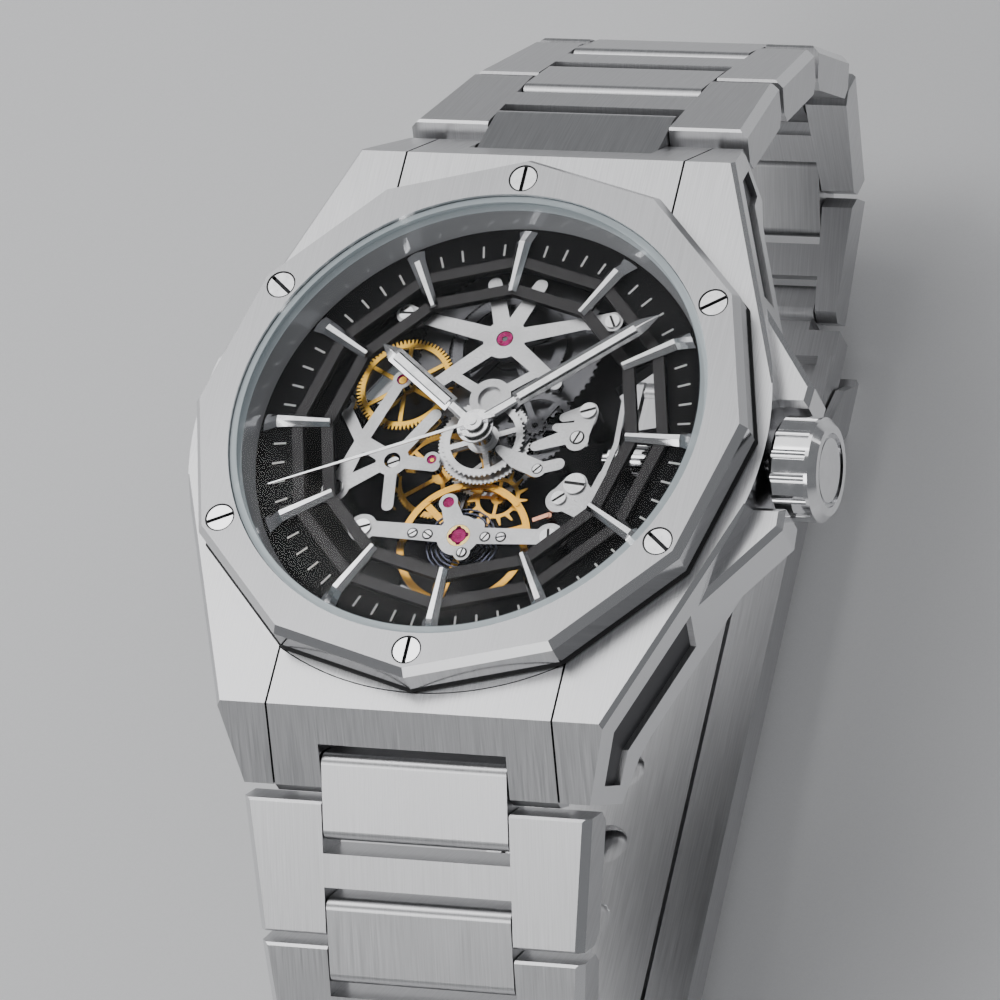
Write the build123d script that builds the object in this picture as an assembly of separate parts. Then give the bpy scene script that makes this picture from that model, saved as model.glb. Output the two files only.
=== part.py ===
from build123d import *
import os
from math import asin, atan2, cos, degrees, hypot, pi, radians, sin

# Skeleton wristwatch with a folding-clasp bracelet, in millimetres.
# +Z points out of the dial, +Y to 12 o'clock, +X to 3 o'clock (the crown).
# z = 0 is the flat of the case back that lies on the wrist.

# ---------------------------------------------------------------- driving sizes
HEAD_HEIGHT = 12.0            # case back to the top of the bezel
CASE_TOP = 9.35               # top plane of the case and the end links
CASE_SIDE_BOTTOM = 2.9
CASE_RADIUS = 21.0            # 42 mm case
LUG_FRONT_Y = 21.85           # where the flat top ends
LUG_TIP = (25.7, 4.75)        # lowest front edge of the sloped lug face, y and z
SIDE_TANGENT = (19.6, 7.56)   # where the straight side leaves the round case
LUG_CORNER = (14.1, 21.85)
BEZEL_VERTEX = 20.3           # twelve-sided bezel, a corner at each hour
BEZEL_BEVEL = 0.65            # height of the sloping band round its top
BEZEL_INSET = 0.45            # how far that band leans in at a corner
CRYSTAL_RADIUS = 17.15
CRYSTAL_BOTTOM = 10.72
BEZEL_SCREW_CIRCLE = 18.48
BEZEL_SHANK = 0.42            # bezel screw thread radius
SEAT_RADIUS = 20.35           # round seat of the bezel, which the end links fit round
END_LINK_HALF = 10.32
DIAL_Z = 8.68                 # top of the chapter ring
WEB_TOP = 9.2                 # top of the open twelve-sided frames
STEM_Z = 5.9                  # height of the crown's axis
CROWN_RADIUS = 3.6
CROWN_BACK = 21.35
CROWN_FRONT = 24.7
PLATE_BOTTOM = 3.8            # main plate of the movement
PLATE_TOP = 4.9
PLATE_RADIUS = 15.9
RIM_INNER = 14.75
SHAFT_CLEARANCE = 0.04

# Time shown, as clockwise angles from 12 o'clock.
HOUR_ANGLE = 306.4
MINUTE_ANGLE = 51.7
SECOND_ANGLE = 247.8

# Wheel centres in plan.
CENTRE = (0.0, 0.0)
BARREL = (0.0, 7.65)
WINDING = (-6.975, 4.285)
THIRD = (-3.35, -1.86)
ESCAPE = (1.3, -3.56)
PALLET = (-1.31, -5.15)
BALANCE = (0.0, -7.65)
MOTION = (3.546, 1.221)

# Bracelet: a chain of centre links and H-shaped outer links on cross pins.
FIRST_PIN = (24.17, 4.33)     # y and z of the pin in the end link
CENTRE_PITCH = 3.1            # pin to pin in a centre link
OUTER_PITCH = 7.0             # pin to pin in an outer link
CHAIN_SLOPES = {"12": (23.5, 37.5, 43.5, 44.5, 51.0, 63.0, 90.0, 114.0, 138.0),
                "6": (40.0, 41.0, 44.0, 46.0, 53.0, 66.0, 92.0, 115.0, 139.0)}
CLASP_Z = -31.3               # height of the pins in the clasp
LINK_HALF = 1.6               # half the link thickness
CENTRE_HALF_WIDTH = 6.75
SLOT_HALF_WIDTH = 6.85
OUTER_HALF_WIDTH = 12.7       # half width of the first outer link
TAPER_PER_LINK = 0.85
PIN_RADIUS = 0.6


# ---------------------------------------------------------------- shape helpers
def poly(points):
    """Flat face with straight sides through the points, in the XY plane."""
    return make_face(Polyline(*points, close=True))


def slab(face, z0, z1):
    """Extrude a flat face of the XY plane from height z0 to z1."""
    return Pos(0, 0, z0) * extrude(face, amount=z1 - z0)


def side_slab(points, x0, x1):
    """Extrude a profile given as (y, z) points from x0 to x1."""
    return extrude(Plane.YZ.offset(x0) * poly(points), amount=x1 - x0)


def block(x0, x1, y0, y1, z0, z1):
    centre = Pos((x0 + x1) / 2, (y0 + y1) / 2, (z0 + z1) / 2)
    return centre * Box(x1 - x0, y1 - y0, z1 - z0)


def rod(place, radius, z0, z1):
    """Upright cylinder at a plan position."""
    return Pos(place[0], place[1], (z0 + z1) / 2) * Cylinder(radius, z1 - z0)


def cross_rod(y, z, radius, x0, x1):
    """Cylinder along X, as the bracelet pins lie."""
    return Pos((x0 + x1) / 2, y, z) * Rot(0, 90, 0) * Cylinder(radius, x1 - x0)


def lathe(points):
    """Turn a profile of (radius, z) points about the Z axis."""
    return revolve(Plane.XZ * poly(points), axis=Axis.Z)


def polar(radius, clock_angle):
    """Plan position at a radius and a clockwise angle from 12 o'clock."""
    return (radius * sin(radians(clock_angle)), radius * cos(radians(clock_angle)))


def dodecagon(vertex_radius):
    return poly([polar(vertex_radius, 30 * hour) for hour in range(12)])


def bar_face(start, end, start_width, end_width):
    """Tapered bar with round ends, from one plan point to another."""
    dx, dy = end[0] - start[0], end[1] - start[1]
    length = hypot(dx, dy)
    nx, ny = -dy / length, dx / length
    a, b = start_width / 2, end_width / 2
    body = poly([(start[0] + nx * a, start[1] + ny * a), (end[0] + nx * b, end[1] + ny * b),
                 (end[0] - nx * b, end[1] - ny * b), (start[0] - nx * a, start[1] - ny * a)])
    return body + Pos(*start) * Circle(a) + Pos(*end) * Circle(b)


def bars(pieces, z0, z1):
    """Fuse several tapered bars and discs into one plate."""
    plate = None
    for piece in pieces:
        face = Pos(*piece[0]) * Circle(piece[1]) if len(piece) == 2 else bar_face(*piece)
        solid = slab(face, z0, z1)
        plate = solid if plate is None else plate + solid
    return plate


def edge_cut(start, end, z, size):
    """Prism that bevels the top edge of an upright wall; the solid is on the left of start to end."""
    dx, dy = end[0] - start[0], end[1] - start[1]
    profile = Plane.YZ * poly([(size, 0), (-1, 0.01), (-1, -size - 1)])
    wedge = Pos(-3, 0, 0) * extrude(profile, amount=hypot(dx, dy) + 6)
    return Pos(start[0], start[1], z) * Rot(0, 0, degrees(atan2(dy, dx))) * wedge


def gear(teeth, pitch_radius, z0, z1):
    """Toothed disc about the Z axis with trapezoid teeth."""
    step = 2 * pi / teeth
    tip = pitch_radius + 0.02
    root = pitch_radius - 1.55 * pitch_radius / teeth - 0.02
    points = []
    for i in range(teeth):
        for offset, radius in ((-0.27, root), (-0.12, tip), (0.12, tip), (0.27, root)):
            angle = (i + offset) * step
            points.append((radius * cos(angle), radius * sin(angle)))
    return slab(poly(points), z0, z1)


def window(inner, outer, start, end, spoke_width):
    """Opening between two spokes, in degrees, with straight chords on its arcs."""
    half = spoke_width / 2
    points = []
    for radius, forward in ((inner, False), (outer, True)):
        shift = degrees(asin(half / radius))
        low, high = start + shift, end - shift
        count = max(2, int((high - low) / 8))
        angles = [low + (high - low) * i / count for i in range(count + 1)]
        if not forward:
            angles.reverse()
        points += [(radius * cos(radians(a)), radius * sin(radians(a))) for a in angles]
    return poly(points)


def wheel(teeth, pitch_radius, z0, z1, spokes, rim, hub, spoke_width=0.35, phase=0.0):
    """Spoked gear wheel about the Z axis."""
    disc = gear(teeth, pitch_radius, z0, z1)
    inner_rim = pitch_radius - 1.55 * pitch_radius / teeth - rim
    for i in range(spokes):
        opening = window(hub, inner_rim, phase + 360 * i / spokes, phase + 360 * (i + 1) / spokes,
                         spoke_width)
        disc -= slab(opening, z0 - 0.1, z1 + 0.1)
    return disc


def roof_profile(y, half_width, z_base, z_edge, z_ridge, flat=0.08):
    """Cross-section of a faceted bar at a distance y from the centre."""
    plane = Plane(origin=(0, y, 0), x_dir=(1, 0, 0), z_dir=(0, -1, 0))
    return plane * poly([(-half_width, z_base), (half_width, z_base), (half_width, z_edge),
                         (flat * half_width, z_ridge), (-flat * half_width, z_ridge),
                         (-half_width, z_edge)])


def faceted_bar(stations):
    """Ruled solid through roof-shaped sections."""
    return loft([roof_profile(*station) for station in stations], ruled=True)


def solids_of(*pieces):
    """Keep separate pieces separate in one compound."""
    solids = []
    for piece in pieces:
        solids += list(piece.solids())
    return Compound(children=solids)


def save(name, shape):
    export_step(shape, os.path.join("parts", name + ".step"))


def at_clock(shape, clock_angle):
    return Rot(0, 0, -clock_angle) * shape


def screw(place, radius, top, head, shank_radius, shank, slot_angle):
    """Slotted screw standing upright."""
    body = rod(place, radius, top - head, top) + rod(place, shank_radius, top - head - shank, top - head)
    slot = Pos(place[0], place[1], top) * Rot(0, 0, slot_angle) * Box(2.2 * radius, 0.2 * radius + 0.08,
                                                                     head)
    return body - slot


# ---------------------------------------------------------------- case
def case_outline():
    tx, ty = SIDE_TANGENT
    lx, ly = LUG_CORNER
    reach = 26.5
    tip_x = lx - (reach - ly) * (tx - lx) / (ly - ty)
    quarter = [(tx, ty), (lx, ly), (tip_x, reach)]
    corners = quarter + [(-x, y) for x, y in reversed(quarter)]
    corners += [(-x, -y) for x, y in quarter] + [(x, -y) for x, y in reversed(quarter)]
    return poly(corners) + Circle(CASE_RADIUS)


def side_panel():
    """Shallow recess in the flank of one lug, cut to a plane parallel to the flank."""
    depth = 0.4
    normal = (0.933, 0.36)
    tx, ty = SIDE_TANGENT
    lx, ly = LUG_CORNER
    slope = (tx - lx) / (ly - ty)
    base = (tx - depth * normal[0], ty - depth * normal[1])
    inner = [(base[0] + slope * 5, base[1] - 5), (base[0] - slope * 20, base[1] + 20)]
    keep_out = slab(poly([inner[0], (inner[0][0] + 12, inner[0][1]), (inner[1][0] + 12, inner[1][1]),
                          inner[1]]), 0, CASE_TOP)
    outline = [(12.4, 7.5), (21.5, 7.5), (24.1, 4.5), (23.1, 2.75), (21.3, 4.5), (13.2, 4.5)]
    return side_slab(outline, 8, 30) & keep_out


def crown_guard():
    """Shoulder on the 6 o'clock side of the crown."""
    outline = [(16.5, -11.6), (18.04, -11.6), (22.8, -5.5), (22.7, -3.9), (19.5, -3.9), (16.5, -8.0)]
    guard = slab(poly(outline), 4.1, 7.73)
    edges = guard.faces().sort_by(Axis.Z)[-1].edges() + guard.faces().sort_by(Axis.Z)[0].edges()
    return chamfer(edges, 0.4)


def make_case_middle():
    tip_y, tip_z = LUG_TIP
    half = [(LUG_FRONT_Y, CASE_TOP), (tip_y, tip_z), (23.7, 1.1), (20.9, 2.6), (19.4, CASE_SIDE_BOTTOM)]
    profile = half + [(-y, z) for y, z in reversed(half)]
    body = slab(case_outline(), 0.5, CASE_TOP) & side_slab(profile, -22, 22)
    guard = crown_guard()
    body += guard + mirror(guard, about=Plane.XZ)
    panel = side_panel()
    for piece in (panel, mirror(panel, about=Plane.XZ)):
        body -= piece
        body -= mirror(piece, about=Plane.YZ)
    for side in (1, -1):
        y0, y1 = sorted((15 * side, 30 * side))
        gap = block(-END_LINK_HALF - 0.15, END_LINK_HALF + 0.15, y0, y1, 0, 12)
        body -= gap - rod(CENTRE, SEAT_RADIUS, 0, 12)
    for turn in (0, 180):
        for flip in (False, True):
            cut = Rot(0, 0, turn) * edge_cut(SIDE_TANGENT, LUG_CORNER, CASE_TOP, 0.3)
            body -= mirror(cut, about=Plane.XZ) if flip else cut
    body -= rod(CENTRE, 17.0, 0, 3.72)
    body -= rod(CENTRE, 16.05, 3.7, 8.4)
    body -= rod(CENTRE, 17.2, 8.3, 12)
    body -= cross_rod(0, STEM_Z, 0.9, 15, 22)
    for hour in range(0, 12, 2):
        body -= rod(polar(BEZEL_SCREW_CIRCLE, 30 * hour), BEZEL_SHANK + 0.02, 7.4, CASE_TOP + 1)
    return body


def make_bezel():
    face = dodecagon(BEZEL_VERTEX)
    body = slab(face, CASE_TOP, HEAD_HEIGHT - BEZEL_BEVEL)
    shoulder = Pos(0, 0, HEAD_HEIGHT - BEZEL_BEVEL) * face
    body += loft([shoulder, Pos(0, 0, HEAD_HEIGHT) * dodecagon(BEZEL_VERTEX - BEZEL_INSET)])
    body -= rod(CENTRE, CRYSTAL_RADIUS + 0.05, CASE_TOP - 1, HEAD_HEIGHT + 1)
    for hour in range(0, 12, 2):
        place = polar(BEZEL_SCREW_CIRCLE, 30 * hour)
        body -= rod(place, 1.07, 11.4, HEAD_HEIGHT + 1)
        body -= rod(place, 0.55, CASE_TOP - 1, 11.5)
    return body


SLOT_ANGLES = {0: 90, 2: 32, 4: -38, 6: 90, 8: 25, 10: -38}


def make_bezel_screws():
    screws = []
    for hour, angle in SLOT_ANGLES.items():
        place = polar(BEZEL_SCREW_CIRCLE, 30 * hour)
        screws.append(screw(place, 0.95, HEAD_HEIGHT - 0.05, 0.5, BEZEL_SHANK, 3.3, angle))
    return solids_of(*screws)


def make_crystal():
    edge = 1.0
    return lathe([(0, CRYSTAL_BOTTOM), (CRYSTAL_RADIUS, CRYSTAL_BOTTOM), (CRYSTAL_RADIUS, 11.7),
                  (CRYSTAL_RADIUS - edge, HEAD_HEIGHT), (0, HEAD_HEIGHT)])


def make_inner_flange():
    return lathe([(16.3, 8.7), (CRYSTAL_RADIUS, 8.7), (CRYSTAL_RADIUS, 10.7), (17.0, 10.7)])


def make_case_back():
    ring = lathe([(14.4, 0), (17.6, 0), (18.5, 0.9), (18.5, 2.88), (16.95, 2.88), (16.95, 3.65),
                  (15.7, 3.65), (15.7, 1.15), (14.4, 1.15)])
    for i in range(6):
        notch = block(17.4, 18.7, -1.0, 1.0, -0.1, 0.6)
        ring -= Rot(0, 0, 30 + 60 * i) * notch
    return ring


def make_back_crystal():
    return lathe([(0, 0), (14.2, 0), (14.36, 0.16), (14.36, 1.1), (0, 1.1)])


def end_link(pin_span=8.6):
    """Solid piece between the lugs at 12 o'clock, with the first bracelet pin."""
    y, z = FIRST_PIN
    tip_y, tip_z = LUG_TIP
    profile = [(16.5, CASE_TOP), (LUG_FRONT_Y, CASE_TOP), (tip_y, tip_z), (tip_y, tip_z - 0.8),
               (24.9, 2.75), (23.4, 2.6), (16.5, 3.0)]
    body = side_slab(profile, -END_LINK_HALF, END_LINK_HALF) - rod(CENTRE, SEAT_RADIUS + 0.08, 0, HEAD_HEIGHT)
    body -= side_slab([(22.0, 7.2), (27, 7.2), (27, 0), (22.0, 0)], -SLOT_HALF_WIDTH, SLOT_HALF_WIDTH)
    body -= cross_rod(y, z, PIN_RADIUS + 0.005, -pin_span, pin_span)
    pin = cross_rod(y, z, PIN_RADIUS, -pin_span, pin_span)
    return solids_of(body, pin)


def make_crown():
    """Fluted crown with a raised rim and a plain sunk centre."""
    length = CROWN_FRONT - CROWN_BACK
    body = Pos((CROWN_BACK + CROWN_FRONT) / 2, 0, STEM_Z) * Rot(0, 90, 0) * Cylinder(CROWN_RADIUS, length)
    body = chamfer(body.edges().sort_by(Axis.X)[-1], 0.5)
    body = chamfer(body.edges().sort_by(Axis.X)[0], 0.3)
    flutes = 14
    groove = cross_rod(CROWN_RADIUS + 0.28, 0, 0.45, CROWN_BACK - 0.5, CROWN_FRONT - 0.75)
    for i in range(flutes):
        body -= Pos(0, 0, STEM_Z) * Rot(360 * i / flutes, 0, 0) * groove
    body -= cross_rod(0, STEM_Z, 2.55, CROWN_FRONT - 0.35, CROWN_FRONT + 1)
    body += cross_rod(0, STEM_Z, 2.2, CROWN_FRONT - 0.5, CROWN_FRONT - 0.1)
    body -= cross_rod(0, STEM_Z, 0.75 + SHAFT_CLEARANCE, CROWN_BACK - 1, CROWN_BACK + 2.0)
    return body


def make_winding_stem():
    """Stem with its clutch and winding pinion."""
    stem = cross_rod(0, STEM_Z, 0.6, 8.3, CROWN_BACK) + cross_rod(0, STEM_Z, 0.75, 17.0, CROWN_BACK + 1.95)
    clutch = cross_rod(0, STEM_Z, 0.95, 8.8, 10.2)
    pinion = Pos(10.5, 0, STEM_Z) * Rot(0, 90, 0) * gear(16, 1.05, 0, 1.2)
    return stem + clutch + pinion


# ---------------------------------------------------------------- dial and hands
def make_dial():
    """Chapter ring with the two open twelve-sided frames above it."""
    ring = rod(CENTRE, 17.1, 8.32, DIAL_Z) - rod(CENTRE, 13.0, 8, 9)
    for outer, inner in ((13.9, 13.08), (11.68, 10.82)):
        base = DIAL_Z - 0.1 if outer > 13 else DIAL_Z
        ring += slab(dodecagon(outer) - dodecagon(inner), base, WEB_TOP)
    for hour in range(12):
        ring += at_clock(block(-0.22, 0.22, 11.2, 13.3, DIAL_Z, WEB_TOP), 30 * hour)
    return ring


def hour_index():
    """Applied baton: a tapered roof, with its outer end sloped down to the ring."""
    ridge = WEB_TOP + 0.42
    baton = faceted_bar([(10.9, 0.35, WEB_TOP, WEB_TOP + 0.1, ridge, 0.35),
                         (14.85, 0.56, WEB_TOP, WEB_TOP + 0.1, ridge, 0.35)])
    heel = faceted_bar([(14.3, 0.53, DIAL_Z, WEB_TOP, WEB_TOP + 0.1, 0.9),
                        (14.85, 0.56, DIAL_Z, WEB_TOP + 0.1, ridge, 0.35),
                        (16.0, 0.67, DIAL_Z, DIAL_Z + 0.1, DIAL_Z + 0.3, 0.35)])
    return baton + heel


def make_hour_indices():
    index = hour_index()
    return solids_of(*[at_clock(index, 30 * hour) for hour in range(12)])


def hand(neck_end, body_end, tip_end, tip_half, z, hub_radius, bore):
    """Faceted baton hand pointing to 12, with a narrow neck and a raised centre strip."""
    edge, ridge = z + 0.06, z + 0.2
    body = faceted_bar([(neck_end, 0.62, z, edge, ridge), (body_end, 0.62, z, edge, ridge)])
    neck = faceted_bar([(0.4, 0.42, z, edge, z + 0.14, 0.6), (neck_end + 0.2, 0.36, z, edge, z + 0.14, 0.6)])
    tip = faceted_bar([(body_end, 0.6, z, edge, ridge), (body_end + 0.45, tip_half, z, edge, ridge),
                       (tip_end, 0.05, z, z + 0.04, z + 0.06)])
    strip = block(-0.24, 0.24, neck_end + 0.25, body_end - 0.25, z + 0.1, z + 0.26)
    hub = rod(CENTRE, hub_radius, z, z + 0.14)
    return body + neck + tip + strip + hub - rod(CENTRE, bore, z - 1, z + 1)


def make_hour_hand():
    return at_clock(hand(2.7, 9.0, 10.25, 0.42, 9.72, 1.3, 0.85), HOUR_ANGLE)


def make_minute_hand():
    return at_clock(hand(3.3, 13.1, 14.72, 0.5, 10.05, 1.05, 0.55), MINUTE_ANGLE)


def make_seconds_hand():
    needle = slab(poly([(-0.12, -1.6), (0.12, -1.6), (0.1, 8), (0.05, 14.95), (-0.05, 14.95), (-0.1, 8)]),
                  10.38, 10.46)
    body = needle + rod(CENTRE, 0.68, 10.36, 10.5) + rod(CENTRE, 0.3, 10.5, 10.58)
    return at_clock(body - rod(CENTRE, 0.2, 10, 10.45), SECOND_ANGLE)


# ---------------------------------------------------------------- movement
BALANCE_POSTS = ((-7.14, -7.45), (6.55, -7.4))
TRAIN_POSTS = ((-9.9, -4.5), (-10.87, 2.16))
BARREL_POSTS = ((-7.7, 9.3), (7.6, 9.35))
KEYLESS_POSTS = ((7.25, 2.46), (7.53, -3.26), (6.1, -1.9))


def make_main_plate():
    """Open-worked base plate with a wall that carries the dial."""
    plate = rod(CENTRE, PLATE_RADIUS, PLATE_BOTTOM, PLATE_TOP)
    wall = rod(CENTRE, PLATE_RADIUS, PLATE_TOP, 8.3) - rod(CENTRE, RIM_INNER, PLATE_TOP, 8.4)
    plate += wall
    for start, end, inner, outer in ((13, 43, 9.6, 13.9), (138, 161, 9.6, 13.9), (238, 264, 10.8, 13.9),
                                     (276, 300, 10.8, 13.9), (318, 346, 10.6, 13.9)):
        plate -= slab(window(inner, outer, start, end, 1.2), 3, 6)
    plate -= block(8.0, 14.6, -1.35, 1.35, 4.5, 6)
    plate -= cross_rod(0, STEM_Z, 0.75, 14, 17)
    for place, top in [(p, 7.6) for p in BALANCE_POSTS] + [(p, 7.55) for p in TRAIN_POSTS]:
        plate += rod(place, 0.8, PLATE_TOP - 0.1, top)
    for place in BARREL_POSTS:
        plate += rod(place, 0.6, PLATE_TOP - 0.1, 7.95)
    for place in KEYLESS_POSTS[:2]:
        plate += rod(place, 0.75, PLATE_TOP - 0.1, 7.88)
    plate += rod((6.1, -1.9), 0.5, PLATE_TOP - 0.1, 8.2)
    plate += rod(MOTION, 0.18, PLATE_TOP - 0.1, 8.06)
    plate += rod(CENTRE, 0.8, 1.95, PLATE_BOTTOM + 0.1)
    for place, radius in ((CENTRE, 0.24), (THIRD, 0.19), (ESCAPE, 0.19), (BALANCE, 0.19), (PALLET, 0.16),
                          (WINDING, 0.34), (BARREL, 1.05)):
        plate -= rod(place, radius, 4.2, PLATE_TOP + 0.1)
    return plate


def make_barrel_bridge():
    """Star-shaped bridge over the barrel, with a round boss near the centre."""
    hub = BARREL
    arms = [(hub, 1.55), ((0, 2.95), 1.5)]
    for end, width in (((-1.7, 11.95), 1.0), ((1.7, 11.95), 1.0), ((-6.2, 9.0), 0.95), ((5.6, 9.1), 0.95),
                       ((-4.5, 3.6), 0.95), ((4.5, 4.3), 0.95)):
        arms.append((hub, end, 1.3, width))
    arms.append(((-6.2, 9.0), BARREL_POSTS[0], 0.95, 1.5))
    arms.append(((5.6, 9.1), BARREL_POSTS[1], 0.95, 1.5))
    arms.append(((0, 2.95), (-3.3, 4.7), 0.7, 0.7))
    arms.append(((0, 2.95), (3.1, 5.2), 0.7, 0.7))
    bridge = bars(arms, 7.95, 8.5)
    for place in BARREL_POSTS:
        bridge -= rod(place, 0.42, 7.9, 8.6)
    bridge -= rod(hub, 0.62, 7.9, 8.6)
    bridge -= rod((0, 2.95), 0.9, 8.2, 8.6)
    bridge -= rod(CENTRE, 3.3, 7.9, 8.1)
    return bridge


def make_train_bridge():
    """Open-worked bridge on the 9 o'clock side, over the winding and third wheels."""
    hub = (-6.23, -2.07)
    fork = (-8.85, -0.75)
    low = (-9.9, -4.5)
    foot = (-5.75, -5.6)
    arms = [(hub, 1.2), (hub, (-3.1, -2.35), 1.1, 0.9), (hub, fork, 1.2, 1.1), (fork, WINDING, 0.95, 0.8),
            (WINDING, 0.7), (fork, (-10.87, 2.16), 0.8, 0.9), (fork, low, 1.0, 1.3), (hub, low, 0.8, 1.2),
            (hub, (-3.9, 1.6), 0.9, 0.9), (hub, foot, 0.9, 0.85), (THIRD, 0.6), (low, 1.0),
            ((-10.87, 2.16), 0.85)]
    bridge = bars(arms, 7.55, 8.1)
    bridge -= rod(hub, 0.6, 7, 9)
    for place, radius in ((WINDING, 0.42), (THIRD, 0.36), (low, 0.45), ((-10.87, 2.16), 0.45)):
        bridge -= rod(place, radius, 7, 9)
    return bridge


def make_balance_bridge():
    """Full bridge across the balance with two lobes on its centre boss."""
    left, right = BALANCE_POSTS
    arms = [(BALANCE, 1.55), (BALANCE, left, 1.3, 1.15), (BALANCE, right, 1.3, 1.15), (left, 1.05),
            (right, 1.05), (BALANCE, (-1.31, -5.15), 1.7, 1.1), ((-1.31, -5.15), 0.68),
            (BALANCE, (0.53, -8.95), 1.7, 1.0), ((0.53, -8.95), 0.6), (BALANCE, (1.15, -6.9), 2.0, 1.2)]
    bridge = bars(arms, 7.6, 8.15)
    bridge -= rod(BALANCE, 0.85, 7, 9)
    bridge -= rod((-1.31, -5.15), 0.42, 7, 9)
    for place in (left, right):
        bridge -= rod(place, 0.45, 7, 9)
    return bridge


def make_keyless_plates():
    """Setting-lever cover, setting lever and yoke plate on the crown side."""
    cover = bars([((4.0, -0.45), (6.6, 0.6), 0.75, 1.3), ((6.9, 0.2), 0.85),
                  ((6.9, 0.2), (7.25, 2.46), 1.5, 1.4), ((5.6, 1.9), (7.25, 2.46), 0.7, 1.2),
                  ((5.2, 1.1), (6.9, 0.9), 0.6, 1.4)], 7.88, 8.13)
    cover -= rod((7.25, 2.46), 0.4, 7, 9)
    lever = bars([((1.55, -0.95), (3.0, -1.75), 0.6, 1.25), ((3.0, -1.75), (4.65, -2.35), 1.25, 1.3),
                  ((4.65, -2.35), (6.1, -1.9), 0.9, 0.9)], 8.2, 8.42)
    lever -= rod((4.65, -2.35), 0.4, 8, 9)
    yoke = bars([((6.63, -4.5), 0.95), ((6.63, -4.5), (7.53, -3.26), 1.7, 1.8),
                 ((7.53, -3.26), (8.9, -4.6), 1.6, 1.2), ((6.63, -4.5), (8.3, -5.4), 1.3, 0.9),
                 ((8.9, -4.6), (9.35, -2.4), 0.9, 0.6), ((9.35, -2.4), (9.8, 0.0), 0.42, 0.36),
                 ((9.8, 0.0), (9.65, 3.2), 0.36, 0.36)], 7.88, 8.13)
    for place in ((7.53, -3.26), (6.63, -4.4)):
        yoke -= rod(place, 0.4, 7, 9)
    return solids_of(cover, lever, yoke)


def make_mainspring_barrel():
    drum = rod(BARREL, 5.6, 5.7, 6.8) + Pos(*BARREL, 0) * gear(72, 6.717, 6.75, 7.0)
    drum += rod(BARREL, 0.95, 4.5, 7.15)
    for i in range(3):
        drum -= Pos(*BARREL, 0) * Rot(0, 0, 120 * i + 90) * slab(window(1.6, 4.6, 8, 112, 0.8), 6.7, 7.1)
    return drum


def make_ratchet_wheel():
    disc = wheel(90, 4.224, 7.2, 7.38, 5, 0.75, 1.25, 0.6, 90)
    return Pos(*BARREL, 0) * disc + rod(BARREL, 0.58, 7.19, 8.42)


def make_winding_wheel():
    body = wheel(75, 3.52, 7.2, 7.38, 6, 0.38, 0.85, 0.3, 35)
    return Pos(*WINDING, 0) * body + rod(WINDING, 0.3, 4.4, 8.0)


def make_center_wheel():
    """Centre wheel, its pinion and the cannon pinion on one tube."""
    body = wheel(75, 3.37, 7.45, 7.6, 4, 0.55, 0.95, 0.4, 20)
    body += gear(10, 0.933, 6.66, 7.46) + gear(12, 0.9375, 7.59, 7.82)
    body += rod(CENTRE, 0.55, 6.6, 10.19)
    return body - rod(CENTRE, 0.25, 6, 11)


def make_third_wheel():
    body = wheel(80, 3.395, 5.65, 5.78, 5, 0.4, 0.7, 0.3)
    body += gear(10, 0.45, 7.35, 7.52) + rod(CENTRE, 0.15, 4.4, 8.0)
    return Pos(*THIRD, 0) * body


def make_fourth_wheel():
    body = gear(10, 0.4244, 5.6, 6.2) + wheel(80, 3.369, 5.45, 5.58, 4, 0.4, 0.8, 0.3, 45)
    return body + rod(CENTRE, 0.42, 5.4, 5.62) + rod(CENTRE, 0.2, 4.4, 10.45)


def make_escape_wheel():
    """Club-toothed wheel with a pinion."""
    teeth, tip, root = 15, 2.2, 1.6
    outline = []
    for i in range(teeth):
        for offset, radius in ((0.05, root), (0.6, root), (0.9, tip), (1.02, tip)):
            angle = 2 * pi * (i + offset) / teeth
            outline.append((radius * cos(angle), radius * sin(angle)))
    body = slab(poly(outline), 6.0, 6.13)
    for i in range(4):
        body -= slab(window(0.5, 1.3, 90 * i, 90 * i + 90, 0.24), 5.9, 6.2)
    body += gear(10, 0.421, 5.35, 5.75) + rod(CENTRE, 0.15, 4.4, 6.4)
    return Pos(*ESCAPE, 0) * body


def make_pallet_fork():
    """Right-angled lever: two arms towards the escape wheel, a fork towards the balance."""
    z0, z1 = 6.0, 6.13
    entry, leave = (-1.13, -3.62), (0.13, -5.75)
    direction = atan2(BALANCE[1] - PALLET[1], BALANCE[0] - PALLET[0])
    end = (PALLET[0] + 1.55 * cos(direction), PALLET[1] + 1.55 * sin(direction))
    body = bars([(PALLET, 0.34), (PALLET, entry, 0.34, 0.22), (PALLET, leave, 0.34, 0.22),
                 (PALLET, end, 0.34, 0.3)], z0, z1)
    for side in (1, -1):
        horn = (end[0] + 0.4 * cos(direction + side * 0.75), end[1] + 0.4 * sin(direction + side * 0.75))
        body += slab(bar_face(end, horn, 0.26, 0.16), z0, z1)
    return body + rod(PALLET, 0.12, 4.4, 6.5)


def make_balance_wheel():
    """Rimmed wheel with rim screws, staff and roller."""
    rim = rod(CENTRE, 4.8, 6.75, 7.05) - rod(CENTRE, 4.3, 6, 8)
    for angle in (20, 140, 260):
        rim += Rot(0, 0, angle) * block(0.3, 4.5, -0.25, 0.25, 6.82, 6.98)
    for i in range(12):
        x, y = polar(4.55, 15 + 30 * i)
        rim += rod((x, y), 0.2, 7.0, 7.12)
    staff = rod(CENTRE, 0.15, 4.4, 7.9) + rod(CENTRE, 0.6, 6.8, 7.0) + rod(CENTRE, 0.62, 6.25, 6.4)
    pin = rod((-0.24, 0.46), 0.08, 6.02, 6.3)
    return Pos(*BALANCE, 0) * (rim + staff + pin)


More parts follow.
